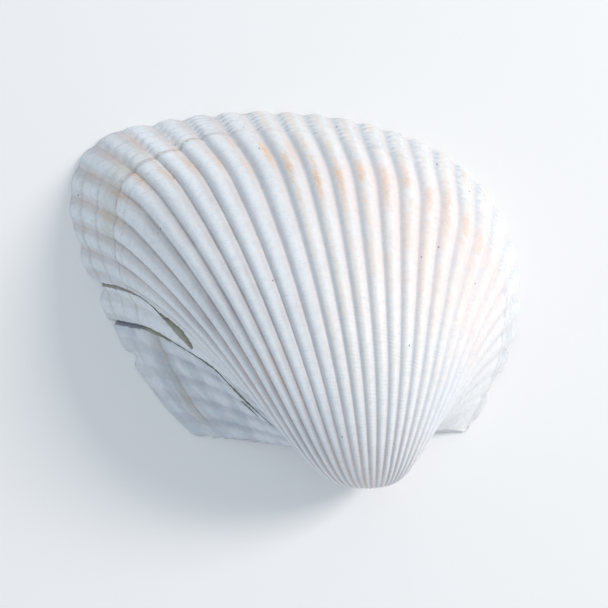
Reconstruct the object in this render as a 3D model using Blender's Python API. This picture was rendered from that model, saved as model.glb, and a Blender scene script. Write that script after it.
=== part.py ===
"""Ark shell, one left valve, lying on its margin with the ribbed outer side up. Metres, +Z up.

The valve grows as a spiral: its margin is one closed line, made of a ribbed arc and a straight hinge, and
each older growth line is the same line made smaller and turned about an axis beside the hinge. The outer
side, the rim and the inner side are rows of such growth lines, laid over the rings of a sphere.
+X is the front (anterior) end, +Y the free (ventral) edge, and the beak curls over the hinge towards -Y.
"""

import math

import bmesh
import bpy
import numpy as np

MM = 0.001

# Outline of the ribbed margin in the plane of the rim, from the rear end of the hinge over the free edge
# to its front end, in mm. X is measured from mid-length and Y from the hinge line.
MARGIN = (
    (-13.2, 0.0), (-17.5, 4.7), (-21.2, 9.4), (-23.4, 13.1), (-25.1, 16.8), (-26.3, 19.9), (-28.2, 23.4),
    (-29.7, 27.2), (-30.0, 30.7), (-29.2, 34.1), (-27.1, 37.3), (-23.4, 39.8), (-18.0, 41.6), (-12.3, 42.5),
    (-4.6, 43.1), (3.4, 42.5), (11.2, 40.8), (18.6, 38.0), (24.9, 33.1), (28.6, 26.3), (30.0, 19.5),
    (28.8, 11.4), (26.2, 5.0), (23.3, 0.0),
)

# Growth spiral.
APEX = (10.0, -1.1, 2.5)  # mm, the point that every growth line shrinks towards
TURN = 1.45  # radians turned while the shell grows by a factor e
LEAN = 6.1  # mm, how far the middle of the valve's growth leans forwards
FRONT_LAG = 0.16  # the front end grows this much later than the rear
BEAK = 0.10  # size of the growth line at the tip of the beak, as a share of the margin
SHOULDER = 8.5  # mm, how the rear ear swells past the hinge line
SHOULDER_REACH = 0.12  # share of the ribbed arc that it fades over

# Ribs, counted from the rear end of the hinge.
RIBS = 36
RIB_COUNT = (0, 6, 9, 12, 17, 27, 36)
RIB_PLACE = (0.0, 0.178, 0.2577, 0.3427, 0.4959, 0.7917, 1.0)  # shares of the ribbed arc
RIB_COLUMNS = (0.0, 0.3, 0.7)  # groove, then the two edges of the flat crest
RIB_HEIGHT = 1.0  # mm, on the middle of the margin
STRENGTH_COUNT = (0, 5, 9, 26, 31, 36)
STRENGTH = (0.25, 0.4, 1.0, 0.9, 0.55, 0.2)

# Growth check: the last band of growth sits lower than the disc.
CHECK_AT = 0.905
CHECK_WIDTH = 0.012
CHECK_STEP = 0.45  # mm

# Wall, hinge plate and hollow.
WALL = 2.1  # mm, at the free edge
HINGE_PLATE = 4.2  # mm
PLATE_BLEND = 0.03  # share of the arc over which the plate narrows to the wall
FOCUS = (1.0, 20.0)  # mm, the inner edges draw in towards this point of the margin's plane
HOLLOW_END = 0.30  # size of the last inner growth line
HOLLOW_DEPTH = 0.93  # how far the end of the hollow closes
CRENULATION = 0.35  # mm
HINGE_COLUMNS = 36
TOOTH_DEPTH = 0.7  # mm
TOOTH_ROWS = (0.30, 0.38, 0.92)  # shares of the plate's width
TOOTH_SLACK = 3  # columns left plain at each end of the hinge

OUTER_ROWS = 18
INNER_ROWS = 9

# Two old cracks in the rear slope, seen from above: points from the margin inwards, and their widths, mm.
LOWER_CRACK = ((-26.0, 14.9), (-24.0, 14.9), (-20.2, 14.4), (-18.2, 13.6), (-16.1, 12.3), (-13.5, 11.0))
LOWER_CRACK_WIDTH = (0.8, 0.8, 0.7, 0.5, 0.45, 0.3)
UPPER_CRACK = ((-28.0, 19.9), (-25.9, 19.7), (-22.6, 19.0), (-19.6, 17.5), (-18.0, 15.8), (-16.3, 14.4))
UPPER_CRACK_WIDTH = (0.5, 0.5, 0.4, 0.5, 0.6, 0.3)
CRACK_FLOOR = -1.0
CRACK_TOP = 16.0

COLOUR = (0.78, 0.80, 0.82, 1.0)
ROUGHNESS = 0.45


def smoothstep(low, high, value):
    """0 below low, 1 above high, and smooth in between."""
    t = min(max((value - low) / (high - low), 0.0), 1.0)
    return t * t * (3 - 2 * t)


def rounded(points, steps=24):
    """Catmull-Rom curve through the points, as an array."""
    p = np.array(points, float)
    p = np.vstack([2 * p[0] - p[1], p, 2 * p[-1] - p[-2]])
    t = np.linspace(0, 1, steps, endpoint=False)[:, None]
    spans = [
        b + (c - a) * t / 2 + (a - 2.5 * b + 2 * c - d / 2) * t**2 + (1.5 * (b - c) + (d - a) / 2) * t**3
        for a, b, c, d in zip(p, p[1:], p[2:], p[3:])
    ]
    return np.vstack(spans + [p[-2:-1]])


MARGIN_LINE = rounded(MARGIN)
MARGIN_LENGTH = np.append(0, np.cumsum(np.hypot(*np.diff(MARGIN_LINE, axis=0).T)))


def on_arc(share):
    """Point of the ribbed arc at this share of its length, in mm."""
    at = share * MARGIN_LENGTH[-1]
    return np.array([np.interp(at, MARGIN_LENGTH, MARGIN_LINE[:, axis]) for axis in (0, 1)])


class Column:
    """One line of growth from the beak to the margin: its place on the margin and what it carries."""

    def __init__(self, point, outward, shoulder, strength, crest, plate, tooth):
        self.point = point
        self.outward = outward
        self.shoulder = shoulder
        self.strength = strength
        self.crest = crest
        self.plate = plate
        self.tooth = tooth

    def inner(self, wall, share=1.0):
        """Where the inner edge of this wall crosses the column, or a share of the way there."""
        focus = np.array(FOCUS)
        reach = max(np.dot(self.point - focus, self.outward), wall + 1)
        return self.point + (focus - self.point) * share * wall / reach


def rib_column(count):
    """The column at this rib count: whole numbers are grooves."""
    share = np.interp(count, RIB_COUNT, RIB_PLACE)
    tangent = on_arc(min(share + 0.01, 1)) - on_arc(max(share - 0.01, 0))
    outward = np.array([-tangent[1], tangent[0]]) / np.hypot(*tangent)
    ends = max(1 - smoothstep(0, PLATE_BLEND, share), smoothstep(1 - PLATE_BLEND, 1, share))
    return Column(
        point=on_arc(share),
        outward=outward,
        shoulder=1 - smoothstep(0, SHOULDER_REACH, share),
        strength=np.interp(count, STRENGTH_COUNT, STRENGTH),
        crest=0.0 if count == int(count) else 1.0,
        plate=ends / 2,
        tooth=0.0,
    )


def hinge_column(index):
    """A column of the straight hinge, from its front end to its rear end."""
    share = index / HINGE_COLUMNS
    front, rear = np.array(MARGIN[-1]), np.array(MARGIN[0])
    toothed = TOOTH_SLACK <= index <= HINGE_COLUMNS - TOOTH_SLACK
    return Column(
        point=front + (rear - front) * share,
        outward=np.array([0.0, -1.0]),
        shoulder=smoothstep(0.5, 1.0, share),
        strength=0.0,
        crest=1.0,
        plate=0.5 + smoothstep(0, 0.1, min(share, 1 - share)) / 2,
        tooth=float(toothed and index % 2),
    )


def on_growth_line(size, x, y, shoulder=0.0):
    """The point (x, y) of the margin's plane, carried back to the growth line of this size, in mm."""
    turn = -TURN * math.log(size)
    across = x - APEX[0]
    up = y - APEX[1]
    forward = across * size ** (1 + FRONT_LAG * (across > 0)) + LEAN * (1 - size) * math.sqrt(size)
    return (
        APEX[0] + forward,
        APEX[1] + size * (up * math.cos(turn) + APEX[2] * math.sin(turn))
        - SHOULDER * shoulder * size * (1 - size),
        APEX[2] + size * (up * math.sin(turn) - APEX[2] * math.cos(turn)),
    )


def outer_point(column, size):
    """The outer side: ribs stand on the growth line, and the disc steps up at the growth check."""
    relief = RIB_HEIGHT * column.strength * (column.crest - 1)
    relief += CHECK_STEP * (1 - smoothstep(CHECK_AT - CHECK_WIDTH, CHECK_AT, size)) * (column.strength > 0)
    x, y = column.point + column.outward * relief
    return on_growth_line(size, x, y, column.shoulder)


def wall_of(column):
    """Wall thickness of the column, wider along the hinge."""
    return WALL + (HINGE_PLATE - WALL) * column.plate + CRENULATION * column.strength * (column.crest - 0.5)


def rim_point(column, share):
    """A point of the flat rim, between its outer edge and its inner edge, with the hinge's teeth cut in it."""
    x, y = column.inner(wall_of(column), share)
    groove = TOOTH_DEPTH * column.tooth * (share in TOOTH_ROWS[1:])
    return (x, y, groove)


def inner_point(column, size):
    """The inner side: the wall thins slowly towards the beak."""
    wall = wall_of(column) if size == 1 else WALL + (HINGE_PLATE - WALL) * column.plate
    x, y = column.inner(wall / math.sqrt(size))
    return on_growth_line(size, x, y)


def row_points(columns):
    """Every ring of the sphere from pole to pole, as points in mm. The first and last rings are poles."""
    sizes = sorted(set(np.geomspace(BEAK, 1, OUTER_ROWS)) | {CHECK_AT - CHECK_WIDTH, CHECK_AT})
    rows = [[outer_point(column, size) for column in columns] for size in sizes]
    rows += [[rim_point(column, share) for column in columns] for share in TOOTH_ROWS]
    rows += [
        [inner_point(column, size) for column in columns]
        for size in np.geomspace(1, HOLLOW_END, INNER_ROWS)
    ]
    tip = on_growth_line(BEAK * HOLLOW_DEPTH, *FOCUS)
    deep = on_growth_line(HOLLOW_END * HOLLOW_DEPTH, *FOCUS)
    return [[tip] * len(columns)] + rows + [[deep] * len(columns)]


def material():
    """Bleached shell."""
    made = bpy.data.materials.new("bleached_shell")
    made.use_nodes = True
    shader = made.node_tree.nodes["Principled BSDF"]
    shader.inputs["Base Color"].default_value = COLOUR
    shader.inputs["Roughness"].default_value = ROUGHNESS
    shader.inputs["Metallic"].default_value = 0.0
    return made


def valve(collection):
    """The valve as one closed skin: a sphere whose rings are laid on the growth lines."""
    columns = [rib_column(rib + part) for rib in range(RIBS) for part in RIB_COLUMNS]
    columns += [hinge_column(index) for index in range(HINGE_COLUMNS)]
    rows = row_points(columns)
    skin = bmesh.new()
    bmesh.ops.create_uvsphere(skin, u_segments=len(columns), v_segments=len(rows) - 1, radius=1)
    for vertex in skin.verts:
        x, y, z = vertex.co
        ring = round(math.acos(max(-1, min(1, z))) / math.pi * (len(rows) - 1))
        place = round(math.atan2(y, x) / math.tau * len(columns)) % len(columns)
        vertex.co = [value * MM for value in rows[ring][place]]
    bmesh.ops.triangulate(skin, faces=skin.faces)
    bmesh.ops.recalc_face_normals(skin, faces=skin.faces)
    mesh = bpy.data.meshes.new("valve")
    skin.to_mesh(mesh)
    skin.free()
    mesh.materials.append(material())
    mesh.shade_smooth()
    made = bpy.data.objects.new("valve", mesh)
    collection.objects.link(made)
    return made


def crack_blade(name, path, widths, collection):
    """An upright blade along a crack, as wide as the crack is open."""
    line = np.array(path)
    along = np.gradient(line, axis=0)
    side = np.stack([-along[:, 1], along[:, 0]], 1) / np.hypot(*along.T)[:, None]
    half = np.array(widths)[:, None] / 2
    outline = np.vstack([line + side * half, (line - side * half)[::-1]])
    blade = bmesh.new()
    floor = blade.faces.new([blade.verts.new((x * MM, y * MM, CRACK_FLOOR * MM)) for x, y in outline])
    grown = bmesh.ops.extrude_face_region(blade, geom=[floor])["geom"]
    raised = [item for item in grown if isinstance(item, bmesh.types.BMVert)]
    bmesh.ops.translate(blade, vec=(0, 0, (CRACK_TOP - CRACK_FLOOR) * MM), verts=raised)
    bmesh.ops.recalc_face_normals(blade, faces=blade.faces)
    mesh = bpy.data.meshes.new(name)
    blade.to_mesh(mesh)
    blade.free()
    made = bpy.data.objects.new(name, mesh)
    made.hide_render = True
    made.display_type = "WIRE"
    collection.objects.link(made)
    return made


def centred(objects, piece):
    """Moves the objects so that the piece stands on the origin: middle of its length and width, underside at 0."""
    corners = np.array([vertex.co for vertex in piece.data.vertices])
    low, high = corners.min(axis=0), corners.max(axis=0)
    for thing in objects:
        thing.location = (-(low[0] + high[0]) / 2, -(low[1] + high[1]) / 2, -low[2])


def main():
    """Clears the scene and models the valve with its two cracks."""
    for thing in list(bpy.data.objects):
        bpy.data.objects.remove(thing)
    shell = bpy.data.collections.new("ark_shell")
    cutters = bpy.data.collections.new("cutters")
    for collection in (shell, cutters):
        bpy.context.scene.collection.children.link(collection)
    piece = valve(shell)
    blades = [
        crack_blade("lower_crack", LOWER_CRACK, LOWER_CRACK_WIDTH, cutters),
        crack_blade("upper_crack", UPPER_CRACK, UPPER_CRACK_WIDTH, cutters),
    ]
    for blade in blades:
        cut = piece.modifiers.new(blade.name, "BOOLEAN")
        cut.operation = "DIFFERENCE"
        cut.solver = "EXACT"
        cut.object = blade
    centred([piece] + blades, piece)


main()
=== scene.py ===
"""Looks of an ark shell valve: a ribbed, bleached left valve, lying hollow side down on a pale floor.

The valve's skin is one closed grid of growth lines. Geometry Nodes grow it: they raise the ribs, growth
lines and hinge teeth on the margin's outline, and carry each growth line back along the spiral.
"""

import logging
import math
from dataclasses import dataclass, field
from enum import Enum
from typing import Any, Sequence, Union

import bmesh
import bpy
import numpy as np
from mathutils.bvhtree import BVHTree
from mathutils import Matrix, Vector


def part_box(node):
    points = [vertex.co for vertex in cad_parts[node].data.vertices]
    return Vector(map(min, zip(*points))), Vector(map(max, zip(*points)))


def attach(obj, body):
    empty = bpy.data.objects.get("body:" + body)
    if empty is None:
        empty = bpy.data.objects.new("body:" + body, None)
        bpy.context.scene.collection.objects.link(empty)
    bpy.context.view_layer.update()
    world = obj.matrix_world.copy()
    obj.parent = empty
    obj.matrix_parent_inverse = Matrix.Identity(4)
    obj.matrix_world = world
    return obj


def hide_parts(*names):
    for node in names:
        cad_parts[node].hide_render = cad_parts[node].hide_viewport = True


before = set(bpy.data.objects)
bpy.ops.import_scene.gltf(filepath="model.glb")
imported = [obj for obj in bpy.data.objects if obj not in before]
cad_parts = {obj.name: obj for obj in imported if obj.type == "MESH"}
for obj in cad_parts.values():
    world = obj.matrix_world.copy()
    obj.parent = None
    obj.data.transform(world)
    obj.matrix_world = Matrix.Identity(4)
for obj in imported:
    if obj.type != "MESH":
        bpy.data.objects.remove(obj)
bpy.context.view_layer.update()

LOG = logging.getLogger("ark_shell")
MM = 0.001
SURFACE_MAP = "growth"  # UV map of the skin: rib count across, size of the growth line up

Point = tuple[float, float]


class Sheet(Enum):
    """The three stretches of the valve's closed skin."""

    OUTER = 0
    RIM = 1
    INNER = 2


class Field:
    """A value that varies over a node tree, so that trees read as arithmetic."""

    def __init__(self, tree: bpy.types.NodeTree, socket: bpy.types.NodeSocket) -> None:
        """Wraps an output socket of the tree."""
        self.tree = tree
        self.socket = socket

    def calc(self, operation: str, *others: "Operand") -> "Field":
        """A Math node on this value.

        Args:
            operation: Blender's name of the operation.
            others: the further operands, fields or numbers.

        Returns:
            The result as a field.
        """
        made = self.tree.nodes.new("ShaderNodeMath")
        made.operation = operation
        for slot, operand in zip(made.inputs, (self, *others)):
            plug(self.tree, slot, operand)
        return Field(self.tree, made.outputs[0])

    def __add__(self, other: "Operand") -> "Field":
        """Sum."""
        return self.calc("ADD", other)

    def __sub__(self, other: "Operand") -> "Field":
        """Difference."""
        return self.calc("SUBTRACT", other)

    def __rsub__(self, other: "Operand") -> "Field":
        """Difference with the field last."""
        return (self * -1.0) + other

    def __mul__(self, other: "Operand") -> "Field":
        """Product."""
        return self.calc("MULTIPLY", other)

    def __truediv__(self, other: "Operand") -> "Field":
        """Quotient."""
        return self.calc("DIVIDE", other)

    __radd__ = __add__
    __rmul__ = __mul__

    def bump(self, middle: "Operand", width: "Operand") -> "Field":
        """1 at the middle and falling to 0 like a bell over about two widths."""
        away = (self - middle) / width
        return (away * away * -1.0).calc("EXPONENT")

    def block(self, middle: "Operand", width: "Operand") -> "Field":
        """1 around the middle and falling steeply to 0 at one width."""
        away = (self - middle) / width
        square = away * away
        return (square * square * -1.0).calc("EXPONENT")

    def smooth(self, low: "Operand", high: "Operand") -> "Field":
        """0 below low, 1 above high, and smooth in between."""
        made = self.tree.nodes.new("ShaderNodeMapRange")
        made.interpolation_type = "SMOOTHSTEP"
        for name, operand in (("Value", self), ("From Min", low), ("From Max", high)):
            plug(self.tree, made.inputs[name], operand)
        return Field(self.tree, made.outputs["Result"])

    def along(self, knots: Sequence[Point]) -> "Field":
        """The height, at this value, of a smooth curve through the knots.

        Args:
            knots: (value, height) pairs in rising order.

        Returns:
            The curve's height as a field.
        """
        values, heights = zip(*knots)
        low, high = min(heights), max(heights)
        span = (high - low) or 1.0
        made = self.tree.nodes.new("ShaderNodeFloatCurve")
        curve = made.mapping.curves[0]
        reach = values[-1] - values[0]
        places = [((v - values[0]) / reach, (h - low) / span) for v, h in knots]
        curve.points[0].location, curve.points[1].location = places[0], places[-1]
        for place in places[1:-1]:
            curve.points.new(*place)
        made.mapping.update()
        plug(self.tree, made.inputs["Value"], (self - values[0]) / reach)
        return Field(self.tree, made.outputs[0]) * span + low


Operand = Union[Field, bpy.types.NodeSocket, float, Sequence[float], str]


def plug(tree: bpy.types.NodeTree, slot: bpy.types.NodeSocket, operand: Any) -> None:
    """Links a field or socket to an input, or sets the input to a plain value.

    Args:
        tree: the tree that holds the input.
        slot: the input.
        operand: a field, an output socket or a value.
    """
    if isinstance(operand, Field):
        tree.links.new(operand.socket, slot)
    elif isinstance(operand, bpy.types.NodeSocket):
        tree.links.new(operand, slot)
    elif operand is not None:
        slot.default_value = operand


def placed(name: str, data: bpy.types.ID) -> bpy.types.Object:
    """A new object of the scene that shows this data."""
    made = bpy.data.objects.new(name, data)
    bpy.context.scene.collection.objects.link(made)
    return made


def applied(thing: bpy.types.Object) -> bpy.types.Mesh:
    """The object's mesh as its modifiers leave it."""
    bpy.context.view_layer.update()
    graph = bpy.context.evaluated_depsgraph_get()
    return bpy.data.meshes.new_from_object(thing.evaluated_get(graph))


class Board:
    """A node tree that is being laid out."""

    def __init__(self, tree: bpy.types.NodeTree) -> None:
        """Takes the tree and forgets any node it had."""
        self.tree = tree
        tree.nodes.clear()

    def add(
        self, kind: str, inputs: dict[Union[str, int], Operand] | None = None, **settings: Any
    ) -> bpy.types.Node:
        """A new node.

        Args:
            kind: Blender's name of the node's type.
            inputs: what each input takes, by its name or place.
            settings: the node's own properties.

        Returns:
            The node.
        """
        made = self.tree.nodes.new(kind)
        for name, value in settings.items():
            setattr(made, name, value)
        for name, operand in (inputs or {}).items():
            plug(self.tree, made.inputs[name], operand)
        return made

    def out(self, node: bpy.types.Node, name: Union[str, int] = 0) -> Field:
        """An output of the node as a field."""
        return Field(self.tree, node.outputs[name])

    def join(self, x: Operand, y: Operand, z: Operand) -> Field:
        """A vector from three numbers."""
        return self.out(self.add("ShaderNodeCombineXYZ", {"X": x, "Y": y, "Z": z}))

    def split(self, vector: Operand) -> list[Field]:
        """The three numbers of a vector."""
        made = self.add("ShaderNodeSeparateXYZ", {0: vector})
        return [Field(self.tree, socket) for socket in made.outputs]

    def noise(self, place: Operand, scale: Operand, detail: float = 2.0, roughness: float = 0.5) -> Field:
        """Smooth noise between about 0 and 1.

        Args:
            place: where to look the noise up.
            scale: waves to a unit of place.
            detail: how many finer layers it has.
            roughness: how strong the finer layers are.

        Returns:
            The noise.
        """
        made = self.add(
            "ShaderNodeTexNoise",
            {"Vector": place, "Scale": scale, "Detail": detail, "Roughness": roughness},
        )
        return self.out(made, 0)

    def tint(self, factor: Operand, first: Operand, second: Operand, blend: str = "MIX") -> Field:
        """The first colour turning into the second as the factor rises."""
        made = self.add("ShaderNodeMix", data_type="RGBA", blend_type=blend)
        for place, operand in ((0, factor), (6, first), (7, second)):
            plug(self.tree, made.inputs[place], operand)
        return Field(self.tree, made.outputs[2])

    def layered(self, colour: Field, coats: Sequence[tuple[Operand, Operand]]) -> Field:
        """The colour under thin coats of others.

        Args:
            colour: the colour below them.
            coats: how much of each coat there is, and its colour.

        Returns:
            The colour with all its coats.
        """
        for amount, ink in coats:
            colour = self.tint(amount, colour, ink)
        return colour


def rounded(points: Sequence[Point], steps: int = 24) -> np.ndarray:
    """Catmull-Rom curve through the points.

    Args:
        points: what the curve passes through.
        steps: points on each span.

    Returns:
        The curve, one point a row.
    """
    p = np.array(points, float)
    p = np.vstack([2 * p[0] - p[1], p, 2 * p[-1] - p[-2]])
    t = np.linspace(0, 1, steps, endpoint=False)[:, None]
    spans = [
        b + (c - a) * t / 2 + (a - 2.5 * b + 2 * c - d / 2) * t**2 + (1.5 * (b - c) + (d - a) / 2) * t**3
        for a, b, c, d in zip(p, p[1:], p[2:], p[3:])
    ]
    return np.vstack(spans + [p[-2:-1]])


def smoothstep(low: float, high: float, value: np.ndarray) -> np.ndarray:
    """0 below low, 1 above high, and smooth in between."""
    t = np.clip((np.asarray(value, float) - low) / (high - low), 0, 1)
    return t * t * (3 - 2 * t)


@dataclass(frozen=True)
class Margin:
    """Outline of the valve in the plane of its rim, in mm, and how its ribs are spaced.

    X is measured from mid-length and Y from the hinge line. The outline runs from the rear end of the hinge
    over the free edge to the front end, and the hinge closes it.
    """

    outline: tuple[Point, ...] = (
        (-13.2, 0.0), (-17.5, 4.7), (-21.2, 9.4), (-23.4, 13.1), (-25.1, 16.8), (-26.3, 19.9),
        (-28.2, 23.4), (-29.7, 27.2), (-30.0, 30.7), (-29.2, 34.1), (-27.1, 37.3), (-23.4, 39.8),
        (-18.0, 41.6), (-12.3, 42.5), (-4.6, 43.1), (3.4, 42.5), (11.2, 40.8), (18.6, 38.0),
        (24.9, 33.1), (28.6, 26.3), (30.0, 19.5), (28.8, 11.4), (26.2, 5.0), (23.3, 0.0),
    )
    ribs: int = 36
    rib_count: tuple[float, ...] = (0, 6, 9, 12, 17, 27, 36)
    rib_place: tuple[float, ...] = (0.0, 0.178, 0.2577, 0.3427, 0.4959, 0.7917, 1.0)
    strength_count: tuple[float, ...] = (0, 5, 9, 26, 31, 33.5, 36)
    strength: tuple[float, ...] = (0.2, 0.35, 1.0, 0.9, 0.5, 0.15, 0.0)
    focus: Point = (1.0, 20.0)
    wall: float = 2.1
    hinge_plate: float = 4.2
    plate_blend: float = 0.03
    shoulder_reach: float = 0.12
    teeth: int = 40

    def on_arc(self, share: np.ndarray) -> np.ndarray:
        """Points of the ribbed arc at these shares of its length."""
        line = rounded(self.outline)
        length = np.append(0, np.cumsum(np.hypot(*np.diff(line, axis=0).T)))
        at = np.clip(share, 0, 1) * length[-1]
        return np.stack([np.interp(at, length, line[:, axis]) for axis in (0, 1)], 1)


@dataclass(frozen=True)
class Sway:
    """How far the ribs drift off their even lines towards the rear, in ribs."""

    front: float = 0.36
    rear: float = 0.10
    rear_young: float = 0.35
    middle: float = 0.08
    beak: float = 1.2
    edge: float = 0.30
    edge_front: float = 0.30
    edge_rear: float = 0.20

    def shift(self, count: np.ndarray, size: np.ndarray) -> np.ndarray:
        """The drift of each rib at each size of growth line.

        Args:
            count: rib count, one a column.
            size: size of the growth line, one a row.

        Returns:
            The drift in ribs, rows by columns.
        """
        ahead = np.clip((count - 13) / 11, 0, 1.3) ** 1.3
        young = np.clip((0.5 - size) / 0.26, 0, 1.2)[:, None] ** 2
        late = smoothstep(0.82, 1.02, size)[:, None]
        outer = self.edge + self.edge_front * np.clip((count - 17) / 7, 0, 1.2) ** 2
        outer = outer + self.edge_rear * (1 - smoothstep(13, 18, count))
        behind = np.clip((14 - count) / 4, 0, 1.5) ** 1.3 * (
            self.rear + self.rear_young * smoothstep(0.25, 0.60, 1 - size)[:, None]
        )
        window = smoothstep(3, 9, count) * (1 - smoothstep(25, 34, count))
        even = self.middle * smoothstep(11, 13, count)
        return (behind - even - ahead * (self.front + self.beak * young) - outer * late) * window


@dataclass(frozen=True)
class Columns:
    """The lines that run from the beak to the margin; one value a column, or rows by columns."""

    count: np.ndarray
    hinge: np.ndarray
    strength: np.ndarray
    point: np.ndarray
    outward: np.ndarray
    inward: np.ndarray
    shoulder: np.ndarray
    wall: np.ndarray

    @classmethod
    def laid(
        cls, margin: Margin, sway: Sway, size: np.ndarray, phases: Sequence[float], tooth_columns: int,
        hinge_span: float,
    ) -> "Columns":
        """Lays the columns round the margin.

        Args:
            margin: the outline that they start from.
            sway: the drift of the ribs.
            size: size of the growth line of each row.
            phases: where the columns of one rib lie, from groove to groove.
            tooth_columns: columns to one hinge tooth.
            hinge_span: how many rib counts the hinge takes on the surface map.

        Returns:
            The columns, the ribbed arc first and the hinge after it.
        """
        rib = (np.arange(margin.ribs)[:, None] + np.array(phases)).ravel()
        share = np.interp(rib + sway.shift(rib, size), margin.rib_count, margin.rib_place)
        flat = share.ravel()
        tangent = margin.on_arc(flat + 0.01) - margin.on_arc(flat - 0.01)
        normal = np.stack([-tangent[:, 1], tangent[:, 0]], 1) / np.hypot(*tangent.T)[:, None]
        step = np.arange(margin.teeth * tooth_columns) / (margin.teeth * tooth_columns)
        front, rear = np.array(margin.outline[-1]), np.array(margin.outline[0])
        hinge = np.broadcast_to(front + (rear - front) * step[:, None], (len(size), len(step), 2))
        point = np.concatenate([margin.on_arc(flat).reshape(*share.shape, 2), hinge], 1)
        level = np.broadcast_to((0.0, -1.0), hinge.shape)
        outward = np.concatenate([normal.reshape(*share.shape, 2), level], 1)
        ends = np.maximum(
            1 - smoothstep(0, margin.plate_blend, share), smoothstep(1 - margin.plate_blend, 1, share)
        )
        middle = np.broadcast_to(0.5 + smoothstep(0, 0.1, np.minimum(step, 1 - step)) / 2, hinge.shape[:2])
        plate = np.concatenate([ends / 2, middle], 1)
        rear_side = np.broadcast_to(smoothstep(0.5, 1, step), hinge.shape[:2])
        focus = np.array(margin.focus)
        reach = np.maximum(((point - focus) * outward).sum(2), margin.wall + 1)
        return cls(
            count=np.append(rib, margin.ribs + hinge_span * step),
            hinge=np.append(rib * 0 - 1, step),
            strength=np.append(np.interp(rib, margin.strength_count, margin.strength), step * 0),
            point=point,
            outward=outward,
            inward=(focus - point) / reach[..., None],
            shoulder=np.concatenate([1 - smoothstep(0, margin.shoulder_reach, share), rear_side], 1),
            wall=margin.wall + (margin.hinge_plate - margin.wall) * plate,
        )


@dataclass(frozen=True)
class Rows:
    """The rings of the skin, from the tip of the beak over the rim to the end of the hollow."""

    size: np.ndarray
    sheet: np.ndarray
    across: np.ndarray

    @classmethod
    def laid(cls, beak: float, hollow_end: float) -> "Rows":
        """Lays the rings close where the growth lines are fine.

        Args:
            beak: size of the growth line at the tip of the beak.
            hollow_end: size of the last inner growth line.

        Returns:
            The rings, with the share of the rim that each has crossed.
        """
        outer = np.concatenate([
            np.geomspace(beak, 0.5, 32, endpoint=False),
            np.linspace(0.5, 0.88, 50, endpoint=False),
            np.linspace(0.88, 1.0, 70),
        ])
        rim = np.array([0.06, 0.16, 0.28, 0.34, 0.42, 0.55, 0.7, 0.84, 0.92])
        near_rim = np.linspace(1, 0.85, 14, endpoint=False)
        inner = np.concatenate([near_rim, np.geomspace(0.85, hollow_end, 18)])
        return cls(
            size=np.concatenate([outer, rim * 0 + 1, inner]),
            sheet=np.repeat([s.value for s in Sheet], [len(outer), len(rim), len(inner)]),
            across=np.concatenate([outer * 0, rim, inner * 0 + 1]),
        )


@dataclass(frozen=True)
class GrowthSizes:
    """Sizes of the growth spiral and of what stands on it, in mm unless a word says otherwise."""

    apex: tuple[float, float, float] = (10.0, -1.1, 2.5)
    turn: float = 1.45
    lean: float = 6.1
    front_lag: float = 0.16
    beak: float = 0.10
    shoulder: float = 8.5
    hollow_end: float = 0.30
    hollow_depth: float = 0.93
    rib_height: float = 0.74
    late_ribs: float = 0.50
    rib_lead: float = 0.55
    lamellae: float = 1.0
    disc_lines: float = 0.10
    undulation: float = 0.18
    check_step: float = 1.0
    edge_round: float = 0.16
    crenulation: float = 0.30
    tooth_depth: float = 0.65
    ear_drop: float = 0.35
    wedge_drop: float = 0.15


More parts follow.
